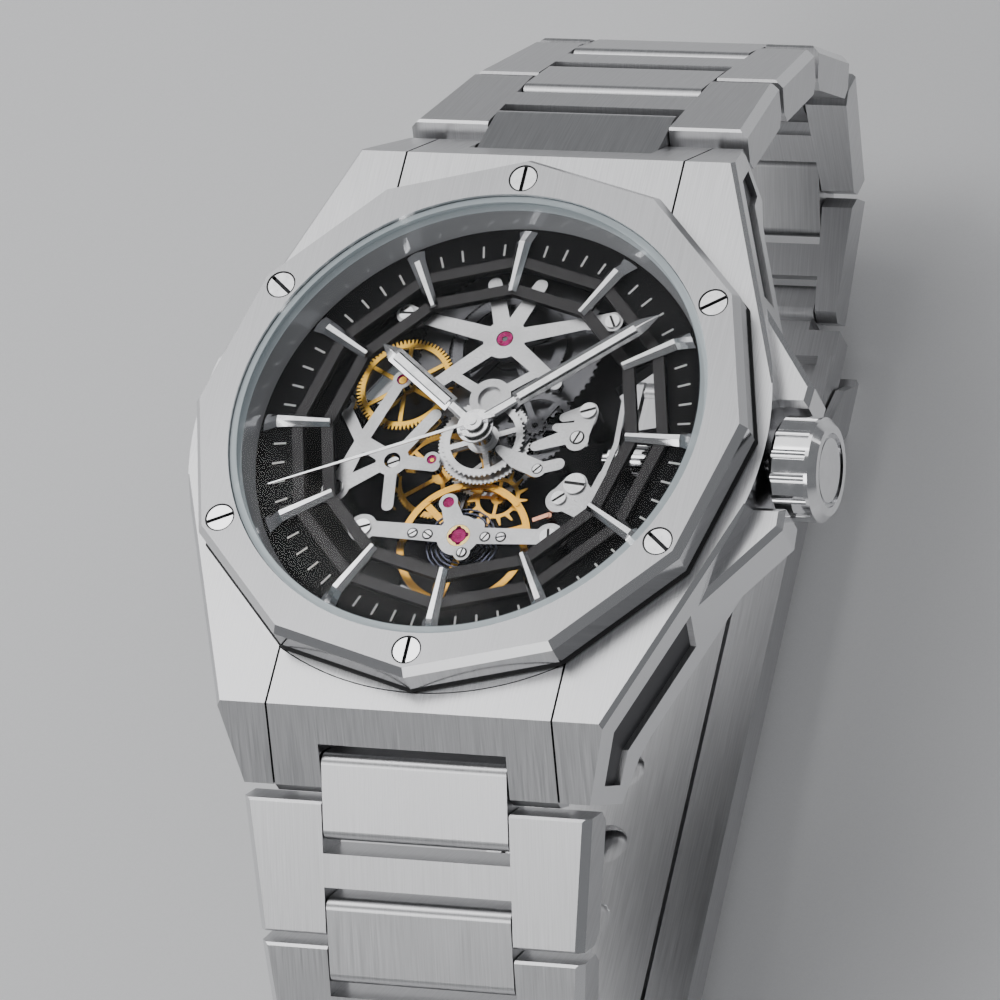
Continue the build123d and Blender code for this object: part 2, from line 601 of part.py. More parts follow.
def make_hairspring():
    """Flat spiral ribbon."""
    turns, inner, outer, width = 7, 0.55, 2.7, 0.09
    count = turns * 20
    inside, outside = [], []
    for i in range(count + 1):
        angle = 2 * pi * turns * i / count
        radius = inner + (outer - inner) * i / count
        inside.append(((radius - width / 2) * cos(angle), (radius - width / 2) * sin(angle)))
        outside.append(((radius + width / 2) * cos(angle), (radius + width / 2) * sin(angle)))
    ribbon = slab(poly(inside + outside[::-1]), 7.2, 7.35)
    stud = block(2.5, 3.0, -0.2, 0.2, 7.2, 7.62)
    return Pos(*BALANCE, 0) * (ribbon + stud)


def make_hour_wheel():
    body = wheel(48, 3.0, 7.88, 8.02, 4, 0.5, 1.15, 0.4, 20) + rod(CENTRE, 0.85, 7.88, 9.86)
    return body - rod(CENTRE, 0.55 + SHAFT_CLEARANCE, 7, 11)


def make_minute_wheel():
    body = wheel(36, 2.8125, 7.66, 7.8, 6, 0.5, 0.85, 0.45) + gear(12, 0.75, 7.79, 8.04)
    return Pos(*MOTION, 0) * (body - rod(CENTRE, 0.18 + SHAFT_CLEARANCE, 7, 9))


def jewel(place, radius, bore, z0, z1):
    return rod(place, radius, z0, z1) - rod(place, bore, z0 - 1, z1 + 1)


def make_movement_jewels():
    cap = rod(BALANCE, 0.5, 7.93, 8.1)
    seat = jewel(BALANCE, 0.83, 0.19, 7.62, 7.9)
    lobe = rod((-1.31, -5.15), 0.4, 7.75, 8.05)
    return solids_of(cap, seat, lobe, jewel(THIRD, 0.34, 0.19, 7.6, 8.0), jewel(WINDING, 0.4, 0.34, 7.6, 8.0))


SCREW_HEAD = 0.14
MOVEMENT_SCREWS = (((-7.14, -7.45), 0.62, 8.3, 0.4, 20), ((6.55, -7.4), 0.62, 8.3, 0.4, 100),
                   ((-9.9, -4.5), 0.62, 8.25, 0.4, 60), ((-10.87, 2.16), 0.6, 8.25, 0.4, 10),
                   (BARREL_POSTS[0], 0.52, 8.64, 0.38, 0), (BARREL_POSTS[1], 0.52, 8.64, 0.38, 120),
                   ((7.25, 2.46), 0.58, 8.3, 0.38, 20), ((7.53, -3.26), 0.78, 8.32, 0.38, -5),
                   ((6.63, -4.4), 0.52, 8.3, 0.38, 40))


def make_movement_screws():
    screws = []
    for place, radius, top, shank_radius, slot in MOVEMENT_SCREWS:
        screws.append(screw(place, radius, top, SCREW_HEAD, shank_radius, 0.2, slot))
    return solids_of(*screws)


def make_rotor():
    """Half-disc winding weight on the back of the movement."""
    half_plane = block(-16, 16, -16, 0.8, 0, 4)
    weight = (rod(CENTRE, 15.2, 1.45, 3.2) - rod(CENTRE, 12.4, 1, 4)) & half_plane
    web = (rod(CENTRE, 12.8, 2.6, 3.1) & half_plane) + rod(CENTRE, 2.4, 2.4, 3.2)
    for start, end in ((198, 248), (248, 292), (292, 342)):
        web -= slab(window(4.2, 11.2, start, end, 1.2), 2, 4)
    return weight + web - rod(CENTRE, 0.8 + SHAFT_CLEARANCE, 1, 4)


# ---------------------------------------------------------------- bracelet
def outer_link(index):
    """H-shaped link, first pin at the origin, second pin along +Y, outside up."""
    start, end = -1.25, OUTER_PITCH + 1.15
    relief, edge = 0.8, 0.18
    profile = [(start + edge, LINK_HALF), (end - edge, LINK_HALF), (end, LINK_HALF - edge),
               (end, -LINK_HALF + relief), (end - relief, -LINK_HALF), (start + relief, -LINK_HALF),
               (start, -LINK_HALF + relief), (start, LINK_HALF - edge)]
    wide = OUTER_HALF_WIDTH - TAPER_PER_LINK * index
    narrow = wide - TAPER_PER_LINK
    plan = slab(poly([(-wide, start), (wide, start), (narrow, end), (-narrow, end)]), -2, 2)
    body = side_slab(profile, -wide, wide) & plan
    cut = edge_cut((wide, start), (narrow, end), LINK_HALF, 0.55)
    body -= cut
    body -= mirror(cut, about=Plane.YZ)
    for y0, y1 in ((start - 1, 2.35), (4.75, end + 1)):
        body -= block(-SLOT_HALF_WIDTH, SLOT_HALF_WIDTH, y0, y1, -3, 3)
    return body


def outer_link_with_pins(index, pins):
    body = outer_link(index)
    reach = OUTER_HALF_WIDTH - TAPER_PER_LINK * (index + 1) - 0.5
    pieces = []
    for y in pins:
        body -= cross_rod(y, 0, PIN_RADIUS + 0.005, -reach, reach)
        pieces.append(cross_rod(y, 0, PIN_RADIUS, -reach, reach))
    return solids_of(body, *pieces)


def centre_link():
    """Middle link with two pin holes, first hole at the origin."""
    start, end = -1.5, CENTRE_PITCH + 1.5
    width = CENTRE_HALF_WIDTH
    body = block(-width, width, start, end, -LINK_HALF, LINK_HALF)
    body = fillet(body.edges().filter_by(Axis.X), 0.75)
    for y in (0, CENTRE_PITCH):
        body -= cross_rod(y, 0, PIN_RADIUS + SHAFT_CLEARANCE, -width - 1, width + 1)
    return body


def chain_places(side_name):
    """(y, z, slope) of each link's first pin from the end link outward, then of the pin in the clasp."""
    y, z = FIRST_PIN
    places = []
    for i, slope in enumerate(CHAIN_SLOPES[side_name]):
        pitch = CENTRE_PITCH if i % 2 == 0 else OUTER_PITCH
        places.append((y, z, slope))
        y += pitch * cos(radians(slope))
        z -= pitch * sin(radians(slope))
    last_slope = 180 - degrees(asin((z - CLASP_Z) / OUTER_PITCH))
    places.append((y, z, last_slope))
    places.append((y + OUTER_PITCH * cos(radians(last_slope)), CLASP_Z, 180))
    return places


def make_chain(side_name, turn):
    middle = centre_link()
    for i, (y, z, slope) in enumerate(chain_places(side_name)[:-1]):
        place = Rot(0, 0, turn) * Pos(0, y, z) * Rot(-slope, 0, 0)
        number = i // 2 + 1
        if i % 2 == 0:
            save(f"centre_link_{side_name}_{number}", place * middle)
        else:
            last_is_open = side_name == "12" and number == 5
            pin_places = (0,) if last_is_open else (0, OUTER_PITCH)
            save(f"outer_link_{side_name}_{number}", place * outer_link_with_pins(number - 1, pin_places))


# ---------------------------------------------------------------- clasp
NEAR_PIN_Y = chain_places("12")[-1][0]      # pin of the 12 o'clock chain, opened
FAR_PIN_Y = -chain_places("6")[-1][0]       # pin of the 6 o'clock chain
COVER_PIVOT_Y = FAR_PIN_Y + 7.0             # long blade to cover
BLADE_PIVOT_Y = NEAR_PIN_Y - 8.0            # short blade to long blade
BLADE_PIN_RADIUS = 0.4
CATCH_Y = NEAR_PIN_Y - 11.0                 # cover to safety catch
CATCH_Z = CLASP_Z - 0.6
CLASP_HALF_WIDTH = 8.9
SKIRT = 1.1                                 # thickness of the cover's side walls
RAIL_HALF_WIDTH = 7.7


def tongue(y):
    """End piece that fits between the arms of the last outer link."""
    piece = block(-CENTRE_HALF_WIDTH, CENTRE_HALF_WIDTH, y - 1.4, y + 1.4, CLASP_Z - 1.35, CLASP_Z + 1.35)
    piece = fillet(piece.edges().filter_by(Axis.X), 0.7)
    return piece - cross_rod(y, CLASP_Z, PIN_RADIUS + SHAFT_CLEARANCE, -8, 8)


def make_clasp_cover():
    """Curved outer cover with side skirts, tongue and two stub pins."""
    outer = CLASP_Z - 1.75
    y0, y1 = FAR_PIN_Y + 4.6, NEAR_PIN_Y - 2.2
    middle = (y0 + y1) / 2
    half = CLASP_HALF_WIDTH
    inner = half - SKIRT
    outline = [(y0, CLASP_Z + 1.0), (y1, CLASP_Z + 1.0), (y1, outer + 0.1), (middle + 10, outer - 0.5),
               (middle - 10, outer - 0.5), (y0, outer + 0.1)]
    shell = side_slab(outline, -half, half)
    for side in (1, -1):
        cut = Rot(0, 180, 0) * edge_cut((half, y0), (half, y1), -outer + 0.5, 0.6)
        shell -= mirror(cut, about=Plane.YZ) if side < 0 else cut
    shell -= block(-inner, inner, y0 - 1, y1 - 2.2, CLASP_Z - 0.85, CLASP_Z + 2)
    shell -= cross_rod(COVER_PIVOT_Y, CLASP_Z, 1.2, -inner, inner)
    shell -= block(-5.7, 5.7, y0 - 1, COVER_PIVOT_Y + 0.7, CLASP_Z - 5, CLASP_Z + 2)
    shell -= block(-half - 1, half + 1, y1 - 2.3, y1 + 1, CLASP_Z + 0.6, CLASP_Z + 3)
    shell += block(-6.4, 6.4, y1 - 1.5, NEAR_PIN_Y - 0.6, CLASP_Z - 1.3, CLASP_Z + 0.5)
    shell += tongue(NEAR_PIN_Y)
    shell -= cross_rod(NEAR_PIN_Y, CLASP_Z, PIN_RADIUS + SHAFT_CLEARANCE, -8, 8)
    pins = []
    for side in (1, -1):
        x0, x1 = sorted((side * 5.8, side * (half - 0.5)))
        shell -= cross_rod(COVER_PIVOT_Y, CLASP_Z, BLADE_PIN_RADIUS + 0.005, x0, x1)
        pins.append(cross_rod(COVER_PIVOT_Y, CLASP_Z, BLADE_PIN_RADIUS, x0, x1))
    for side in (1, -1):
        x0, x1 = sorted((side * (half - 0.6), side * (half + 0.8)))
        shell += cross_rod(CATCH_Y, CATCH_Z, 0.5, x0, x1)
    return solids_of(shell, *pins)


def make_long_blade():
    """Channel-shaped blade between the cover and the short blade."""
    y0, y1 = COVER_PIVOT_Y - 0.9, BLADE_PIVOT_Y + 0.9
    z0, z1 = CLASP_Z - 0.65, CLASP_Z + 0.55
    width = RAIL_HALF_WIDTH
    blade = block(-width, width, COVER_PIVOT_Y + 1.6, BLADE_PIVOT_Y - 1.4, z0, z0 + 0.3)
    for side in (1, -1):
        x0, x1 = sorted((side * 5.5, side * width))
        rail = block(x0, x1, y0, y1, z0, z1)
        rail = fillet(rail.edges().filter_by(Axis.X), 0.45)
        blade += rail
        blade -= cross_rod(COVER_PIVOT_Y, CLASP_Z, BLADE_PIN_RADIUS + SHAFT_CLEARANCE, x0 - 0.1, x1 + 0.1)
    middle = (y0 + y1) / 2
    for y in (-12, -6, 0, 6, 12):
        blade -= rod((0, middle + y), 1.6, z0 - 1, z0 + 1)
    reach = width - 0.7
    pin = cross_rod(BLADE_PIVOT_Y, CLASP_Z, BLADE_PIN_RADIUS, -reach, reach)
    blade -= cross_rod(BLADE_PIVOT_Y, CLASP_Z, BLADE_PIN_RADIUS + 0.005, -reach, reach)
    return solids_of(blade, pin)


def make_short_blade():
    """Flat blade nested in the channel, ending in the 6 o'clock tongue."""
    z0, z1 = CLASP_Z - 0.3, CLASP_Z + 0.55
    blade = block(-5.2, 5.2, FAR_PIN_Y + 0.6, BLADE_PIVOT_Y - 0.2, z0, z1)
    knuckle = cross_rod(BLADE_PIVOT_Y, CLASP_Z, 0.85, -5.2, 5.2)
    blade += knuckle + block(-5.2, 5.2, BLADE_PIVOT_Y - 1.0, BLADE_PIVOT_Y, z0, z1)
    middle = (FAR_PIN_Y + BLADE_PIVOT_Y) / 2
    for y in (-15, -9, -3, 3, 9, 15):
        blade -= rod((0, middle + y), 1.5, z0 - 1, z1 + 1)
    blade += tongue(FAR_PIN_Y)
    blade -= cross_rod(FAR_PIN_Y, CLASP_Z, PIN_RADIUS + SHAFT_CLEARANCE, -8, 8)
    return blade - cross_rod(BLADE_PIVOT_Y, CLASP_Z, BLADE_PIN_RADIUS + SHAFT_CLEARANCE, -9, 9)


def make_safety_catch():
    """Flip-over catch that embraces the cover; its bridge is far enough out to swing past the cover."""
    outer = CLASP_Z - 2.6
    y0, bridge_y, y1 = CATCH_Y - 1.3, CATCH_Y + 2.3, CATCH_Y + 6.5
    x_in, x_out = CLASP_HALF_WIDTH + 0.15, CLASP_HALF_WIDTH + 0.9
    catch = block(-x_out, x_out, bridge_y, y1, outer - 0.7, outer)
    for side in (1, -1):
        x0, x1 = sorted((side * x_in, side * x_out))
        cheek = side_slab([(y0, CATCH_Z + 1.1), (CATCH_Y + 1.4, CATCH_Z + 1.1), (y1 - 2.0, CATCH_Z - 0.2),
                           (y1, outer - 0.7), (bridge_y, outer - 0.7), (y0, CATCH_Z - 0.9)], x0, x1)
        catch += cheek
        catch -= cross_rod(CATCH_Y, CATCH_Z, 0.5 + SHAFT_CLEARANCE, x0 - 0.1, x1 + 0.1)
    return catch


# ---------------------------------------------------------------- write the parts
os.makedirs("parts", exist_ok=True)

MAKERS = {
    "case_middle": make_case_middle,
    "bezel": make_bezel,
    "bezel_screws": make_bezel_screws,
    "crystal": make_crystal,
    "inner_flange": make_inner_flange,
    "case_back": make_case_back,
    "back_crystal": make_back_crystal,
    "end_link_12": end_link,
    "crown": make_crown,
    "winding_stem": make_winding_stem,
    "dial": make_dial,
    "hour_indices": make_hour_indices,
    "hour_hand": make_hour_hand,
    "minute_hand": make_minute_hand,
    "seconds_hand": make_seconds_hand,
    "main_plate": make_main_plate,
    "barrel_bridge": make_barrel_bridge,
    "train_bridge": make_train_bridge,
    "balance_bridge": make_balance_bridge,
    "keyless_plates": make_keyless_plates,
    "mainspring_barrel": make_mainspring_barrel,
    "ratchet_wheel": make_ratchet_wheel,
    "winding_wheel": make_winding_wheel,
    "center_wheel": make_center_wheel,
    "third_wheel": make_third_wheel,
    "fourth_wheel": make_fourth_wheel,
    "escape_wheel": make_escape_wheel,
    "pallet_fork": make_pallet_fork,
    "balance_wheel": make_balance_wheel,
    "hairspring": make_hairspring,
    "hour_wheel": make_hour_wheel,
    "minute_wheel": make_minute_wheel,
    "movement_jewels": make_movement_jewels,
    "movement_screws": make_movement_screws,
    "rotor": make_rotor,
    "clasp_cover": make_clasp_cover,
    "clasp_long_blade": make_long_blade,
    "clasp_short_blade": make_short_blade,
    "clasp_safety_catch": make_safety_catch,
}

for node, maker in MAKERS.items():
    save(node, maker())
save("end_link_6", Rot(0, 0, 180) * end_link())
make_chain("12", 0)
make_chain("6", 180)
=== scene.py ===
"""Looks for the skeleton wristwatch, in metres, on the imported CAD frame."""
from math import atan2, cos, pi, radians, sin

import bmesh
import bpy
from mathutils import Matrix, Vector


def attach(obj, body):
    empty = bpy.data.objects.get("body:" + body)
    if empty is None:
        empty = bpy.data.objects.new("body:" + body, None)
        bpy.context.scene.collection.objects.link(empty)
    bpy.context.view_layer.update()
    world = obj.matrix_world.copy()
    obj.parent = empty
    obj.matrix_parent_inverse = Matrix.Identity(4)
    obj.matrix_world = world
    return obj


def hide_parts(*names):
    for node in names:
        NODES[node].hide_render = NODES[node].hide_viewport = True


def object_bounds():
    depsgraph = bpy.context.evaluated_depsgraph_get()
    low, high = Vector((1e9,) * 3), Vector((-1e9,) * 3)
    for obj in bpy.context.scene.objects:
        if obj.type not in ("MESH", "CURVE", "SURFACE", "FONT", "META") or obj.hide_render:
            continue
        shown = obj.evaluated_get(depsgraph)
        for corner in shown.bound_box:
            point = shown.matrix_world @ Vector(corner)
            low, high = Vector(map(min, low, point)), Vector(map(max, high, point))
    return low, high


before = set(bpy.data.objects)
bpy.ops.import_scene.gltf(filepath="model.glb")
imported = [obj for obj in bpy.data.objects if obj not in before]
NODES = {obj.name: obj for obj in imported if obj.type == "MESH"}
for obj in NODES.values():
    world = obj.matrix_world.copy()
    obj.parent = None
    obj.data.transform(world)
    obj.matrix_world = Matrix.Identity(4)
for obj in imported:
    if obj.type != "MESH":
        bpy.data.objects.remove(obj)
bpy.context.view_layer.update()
MM = 0.001

# Places on the CAD that the looks and the small pieces follow, in mm and degrees.
HOUR_ANGLE = 306.4                   # the time the hands show, clockwise from 12
MINUTE_ANGLE = 51.7
WINDING_CENTRE = (-6.975, 4.285)     # wheel and jewel centres in plan
BALANCE_CENTRE = (0, -7.65)
BARREL_CENTRE = (0, 7.65)
BEZEL_SCREW_CIRCLE = 18.48
BEZEL_FOOT = 9.35                    # height of the bezel's lower face
CHAPTER_RING_TOP = 8.68
FRAME_FOOT = 9.1                     # just below the tops of the dial's raised frames
BALANCE_BRIDGE_TOP = 8.15
BARREL_BRIDGE_TOP = 8.5
FLANK_POINT = (19.6, 7.56)           # on a lug's upright side, x and y
FLANK_NORMAL = (0.9333, 0.3592)
FLANK_DISTANCE = FLANK_POINT[0] * FLANK_NORMAL[0] + FLANK_POINT[1] * FLANK_NORMAL[1]
RECESS_DEPTH = 0.4                   # from the lug's side to the floor of its recess


# ---------------------------------------------------------------- materials
class Look:
    """A node material with one Principled shader, textured in object space so it moves with its piece."""

    def __init__(self, name, metallic=1.0, **constants):
        self.material = bpy.data.materials.new(name)
        self.material.use_nodes = True
        self.tree = self.material.node_tree
        self.shader = self.tree.nodes["Principled BSDF"]
        self.set("Metallic", metallic)
        for socket, value in constants.items():
            self.set(socket.replace("_", " "), value)
        self.coordinates = self.tree.nodes.new("ShaderNodeTexCoord")

    def set(self, socket, value):
        """Constant on a socket of the shader."""
        self.shader.inputs[socket].default_value = value

    def wire(self, value, socket):
        """Put another node's output, or a constant, on a socket."""
        if hasattr(value, "is_output"):
            self.tree.links.new(value, socket)
        else:
            socket.default_value = value

    def give(self, socket, value):
        """Put an output or a constant on a named socket of the shader."""
        self.wire(value, self.shader.inputs[socket])

    def math(self, operation, a, b=0.0):
        node = self.tree.nodes.new("ShaderNodeMath")
        node.operation = operation
        self.wire(a, node.inputs[0])
        self.wire(b, node.inputs[1])
        return node.outputs[0]

    def axes(self, kind="Object"):
        """x, y and z of the point (in mm) or of the surface's own normal."""
        split = self.tree.nodes.new("ShaderNodeSeparateXYZ")
        self.tree.links.new(self.coordinates.outputs[kind], split.inputs[0])
        if kind != "Object":
            return list(split.outputs)
        return [self.math("MULTIPLY", out, 1 / MM) for out in split.outputs]

    def radius(self, centre=(0, 0)):
        """Distance in mm from an upright axis."""
        x, y, _ = self.axes()
        dx, dy = (self.math("POWER", self.math("SUBTRACT", value, middle), 2.0)
                  for value, middle in zip((x, y), centre))
        return self.math("SQRT", self.math("ADD", dx, dy))

    def noise(self, per_mm, detail=3.0, rough=0.5, vector=None):
        """Noise with its own scale along each axis, in features per mm."""
        mapping = self.tree.nodes.new("ShaderNodeMapping")
        mapping.inputs["Scale"].default_value = [s / MM for s in per_mm]
        self.tree.links.new(vector or self.coordinates.outputs["Object"], mapping.inputs["Vector"])
        node = self.tree.nodes.new("ShaderNodeTexNoise")
        node.inputs["Scale"].default_value = 1.0
        node.inputs["Detail"].default_value = detail
        node.inputs["Roughness"].default_value = rough
        self.tree.links.new(mapping.outputs[0], node.inputs["Vector"])
        return node.outputs["Fac"]

    def span(self, value, low, high, to_low=0.0, to_high=1.0):
        """Carry a value from low..high over to to_low..to_high, held at the ends."""
        node = self.tree.nodes.new("ShaderNodeMapRange")
        self.wire(value, node.inputs["Value"])
        for name, number in zip(("From Min", "From Max", "To Min", "To Max"), (low, high, to_low, to_high)):
            self.wire(number, node.inputs[name])
        return node.outputs[0]

    def mix(self, factor, a, b):
        """Colour between a and b."""
        node = self.tree.nodes.new("ShaderNodeMix")
        node.data_type = "RGBA"
        self.wire(factor, node.inputs["Factor"])
        for value, socket in ((a, node.inputs[6]), (b, node.inputs[7])):
            self.wire(value if hasattr(value, "is_output") else (*value, 1.0), socket)
        return node.outputs[2]

    def blend(self, factor, a, b):
        """Number between a and b."""
        return self.span(factor, 0.0, 1.0, a, b)

    def bump(self, height, depth_mm, strength):
        node = self.tree.nodes.new("ShaderNodeBump")
        node.inputs["Strength"].default_value = strength
        node.inputs["Distance"].default_value = depth_mm * MM
        self.wire(height, node.inputs["Height"])
        self.tree.links.new(node.outputs[0], self.shader.inputs["Normal"])


def grain(look, per_mm=10.0, along=0.22):
    """Brushing along 12-6 on faces that look up, and level on upright faces."""
    flat = look.noise((per_mm, along, along), 4.0, 0.6)
    upright = look.noise((along, along, per_mm), 4.0, 0.6)
    up = look.math("ABSOLUTE", look.axes("Normal")[2])
    return look.blend(look.span(up, 0.25, 0.4), upright, flat)


def steel(name, polished_where, bright=(0.66, 0.66, 0.67), rough=(0.3, 0.4), shine=0.14):
    """Brushed steel with polished bevels. polished_where gives 1 where the surface is a bevel."""
    look = Look(name)
    bevel = polished_where(look)
    streak = grain(look)
    cloud = look.noise((0.35, 0.12, 0.12), 2.0)
    brushed = look.mix(look.span(streak, 0.3, 0.7), tuple(c * 0.8 for c in bright), bright)
    brushed = look.mix(look.span(cloud, 0.35, 0.65, 0.0, 0.12), brushed, (0.5, 0.5, 0.51))
    look.give("Base Color", look.mix(bevel, brushed, (0.74, 0.74, 0.75)))
    look.give("Roughness", look.blend(bevel, look.span(streak, 0.25, 0.75, *rough), shine))
    look.bump(look.math("MULTIPLY", streak, look.math("SUBTRACT", 1.0, bevel)), 0.007, 0.5)
    return look.material


def case_look():
    """Brushed case, polished bevels, and dark satin inside the four flank recesses."""
    look = Look("case_steel")
    bevel = leaning(look)
    streak = grain(look)
    facing, depth = (look.math("ADD", *(look.math("MULTIPLY", look.math("ABSOLUTE", value), part)
                                        for value, part in zip(look.axes(kind), FLANK_NORMAL)))
                     for kind in ("Normal", "Object"))
    floor = FLANK_DISTANCE - RECESS_DEPTH
    sunk = look.math("MULTIPLY", look.span(depth, floor + 0.06, floor + 0.1, 1.0, 0.0),
                     look.span(depth, floor - 0.1, floor - 0.06))
    recess = look.math("MULTIPLY", sunk, look.span(facing, 0.98, 0.995))
    bright = look.mix(look.span(streak, 0.3, 0.7), (0.52, 0.52, 0.53), (0.67, 0.67, 0.68))
    colour = look.mix(bevel, bright, (0.76, 0.76, 0.77))
    look.give("Base Color", look.mix(recess, colour, (0.1, 0.1, 0.105)))
    rough = look.blend(bevel, look.span(streak, 0.25, 0.75, 0.3, 0.4), 0.13)
    look.give("Roughness", look.blend(recess, rough, 0.45))
    look.bump(streak, 0.007, 0.5)
    return look.material


def leaning(look):
    """Bevels of the case: tilted faces that lean to one side, and so not the sloped lug faces."""
    across = look.math("ABSOLUTE", look.axes("Normal")[0])
    return look.math("MULTIPLY", tilted(look), look.span(across, 0.15, 0.3))


def tilted(look):
    """Bevels of parts that lie flat: neither level nor upright."""
    up = look.math("ABSOLUTE", look.axes("Normal")[2])
    return look.span(up, 0.93, 0.985, 1.0, 0.0)


def skewed(look):
    """Bevels of links that curve round the wrist: their normals lean along the pins."""
    across = look.math("ABSOLUTE", look.axes("Normal")[0])
    return look.math("MULTIPLY", look.span(across, 0.1, 0.3), look.span(across, 0.93, 0.98, 1.0, 0.0))


def satin(name, colour, rough=0.32, metallic=1.0, spread=0.15, shine=0.12, gloss=0.5):
    """Fine-grained metal or lacquer, clouded over a few mm, with polished bevels."""
    look = Look(name, metallic, Specular_IOR_Level=gloss)
    grit = look.noise((6.0, 6.0, 6.0), 3.0, 0.6)
    cloud = look.noise((0.4, 0.4, 0.4), 1.0)
    bevel = tilted(look)
    dark = tuple(c * (1 - spread) for c in colour)
    light = tuple(min(1.0, c * (1 + 0.35 * spread)) for c in colour)
    body = look.mix(look.span(grit, 0.35, 0.65), dark, light)
    body = look.mix(look.span(cloud, 0.4, 0.62, 0.0, 2 * spread), body, tuple(c * 0.5 for c in colour))
    look.give("Base Color", look.mix(bevel, body, light))
    look.give("Roughness", look.blend(bevel, look.span(grit, 0.3, 0.7, rough * 0.85, rough * 1.15), shine))
    look.bump(grit, 0.001, 0.1)
    return look.material


def turned(name, colour, centre, rough=0.3, rings_per_mm=5.0):
    """Circular-grained wheel: rings about its own axis, given in mm."""
    look = Look(name)
    vector = look.tree.nodes.new("ShaderNodeCombineXYZ")
    look.wire(look.math("MULTIPLY", look.radius(centre), MM), vector.inputs[0])
    rings = look.noise((rings_per_mm,) * 3, 4.0, 0.7, vector.outputs[0])
    bevel = tilted(look)
    dark = tuple(c * 0.72 for c in colour)
    look.give("Base Color", look.mix(look.span(rings, 0.3, 0.7), dark, colour))
    look.give("Roughness", look.blend(bevel, look.span(rings, 0.3, 0.7, rough * 0.8, rough * 1.2), 0.15))
    look.bump(rings, 0.006, 0.4)
    return look.material


def polished(name, colour=(0.8, 0.8, 0.81), rough=0.1):
    """Polished metal with faint wiping marks."""
    look = Look(name)
    haze = look.noise((1.2, 1.2, 1.2), 5.0, 0.6)
    look.give("Base Color", look.mix(look.span(haze, 0.4, 0.6), tuple(c * 0.94 for c in colour), colour))
    look.give("Roughness", look.span(haze, 0.35, 0.65, rough * 0.8, rough * 1.4))
    look.bump(haze, 0.003, 0.2)
    return look.material


def crystal_look(name, bevel_radius):
    """Clear sapphire, with a painted blue-white highlight on its bevelled edge that is more opaque towards 6
    o'clock.
    """
    look = Look(name, 0.0, Roughness=0.03, IOR=1.77)
    # Painted highlight: the bevelled edge gets a blue-white colour, more opaque towards the -y side (6
    # o'clock).
    edge = look.span(look.radius(), bevel_radius, bevel_radius + 0.1)
    smear = look.noise((0.12, 0.3, 0.3), 2.0)
    look.give("Base Color", look.mix(edge, (0.01, 0.012, 0.015), (0.84, 0.94, 0.98)))
    clear = look.span(smear, 0.3, 0.7, 0.03, 0.06)
    painted_glint_alpha = look.span(look.axes()[1], -bevel_radius, bevel_radius, 0.85, 0.5)
    look.give("Alpha", look.blend(edge, clear, painted_glint_alpha))
    look.material.surface_render_method = "BLENDED"
    return look.material


def dial_look():
    """Black matt ring; the raised frames are dark grey metal with a brushed grain."""
    look = Look("dial_finish", Specular_IOR_Level=0.08)
    raised = look.span(look.axes()[2], FRAME_FOOT, FRAME_FOOT + 0.05)
    streak = look.noise((8.0, 0.6, 1.0), 3.0)
    grit = look.noise((14.0, 14.0, 14.0), 2.0)
    black = look.mix(grit, (0.004, 0.004, 0.005), (0.01, 0.01, 0.011))
    grey = look.mix(look.span(streak, 0.3, 0.7), (0.035, 0.034, 0.035), (0.065, 0.063, 0.065))
    look.give("Base Color", look.mix(raised, black, grey))
    look.give("Metallic", look.blend(raised, 0.0, 0.8))
    look.give("Roughness", look.blend(raised, 0.5, look.span(streak, 0.3, 0.7, 0.38, 0.5)))
    look.bump(streak, 0.004, 0.3)
    return look.material


def hand_look(name, clock_angle, neck_end, body_end):
    """Polished baton hand with a painted dark line of shade on each side of its raised centre strip.

    neck_end and body_end are where its wide part starts and ends, in mm from the centre.
    """
    look = Look(name)
    x, y, _ = look.axes()
    c, s = cos(radians(clock_angle)), sin(radians(clock_angle))
    sideways = look.math("SUBTRACT", look.math("MULTIPLY", x, c), look.math("MULTIPLY", y, s))
    across = look.math("ABSOLUTE", sideways)
    along = look.math("ADD", look.math("MULTIPLY", x, s), look.math("MULTIPLY", y, c))
    # Painted shade: dark lines beside the raised centre strip, where its sides fall into shade.
    beside = look.math("MULTIPLY", look.span(across, 0.25, 0.27), look.span(across, 0.35, 0.38, 1.0, 0.0))
    inside = look.math("MULTIPLY", look.span(along, neck_end + 0.2, neck_end + 0.25),
                       look.span(along, body_end - 0.25, body_end - 0.2, 1.0, 0.0))
    painted_step_shade = look.math("MULTIPLY", beside, inside)
    haze = look.noise((1.2, 1.2, 1.2), 5.0, 0.6)
    metal = look.mix(look.span(haze, 0.4, 0.6), (0.8, 0.8, 0.81), (0.87, 0.87, 0.88))
    look.give("Base Color", look.mix(painted_step_shade, metal, (0.06, 0.06, 0.065)))
    look.give("Roughness", look.span(haze, 0.35, 0.65, 0.13, 0.2))
    look.bump(haze, 0.003, 0.2)
    return look.material


def screw_look(name, slot_floor):
    """Polished screws, with painted shade below the height of the slot's floor, in mm."""
    look = Look(name)
    haze = look.noise((2.5, 2.5, 2.5), 4.0, 0.6)
    # Painted shade: everything below the slot's floor is dark.
    deep = look.span(look.axes()[2], slot_floor + 0.02, slot_floor + 0.04, 1.0, 0.0)
    metal = look.mix(look.span(haze, 0.4, 0.6), (0.72, 0.72, 0.73), (0.8, 0.8, 0.81))
    look.give("Base Color", look.mix(deep, metal, (0.03, 0.03, 0.032)))
    look.give("Roughness", look.blend(deep, look.span(haze, 0.35, 0.65, 0.12, 0.2), 0.5))
    look.bump(haze, 0.003, 0.2)
    return look.material


def ruby_look():
    """Pink synthetic ruby, deeper towards one side."""
    look = Look("ruby_finish", 0.0, Roughness=0.08, Specular_IOR_Level=0.2)
    cloud = look.noise((2.5, 2.5, 2.5), 2.0)
    look.give("Base Color", look.mix(look.span(cloud, 0.35, 0.65), (0.42, 0.0, 0.1), (0.8, 0.02, 0.3)))
    return look.material


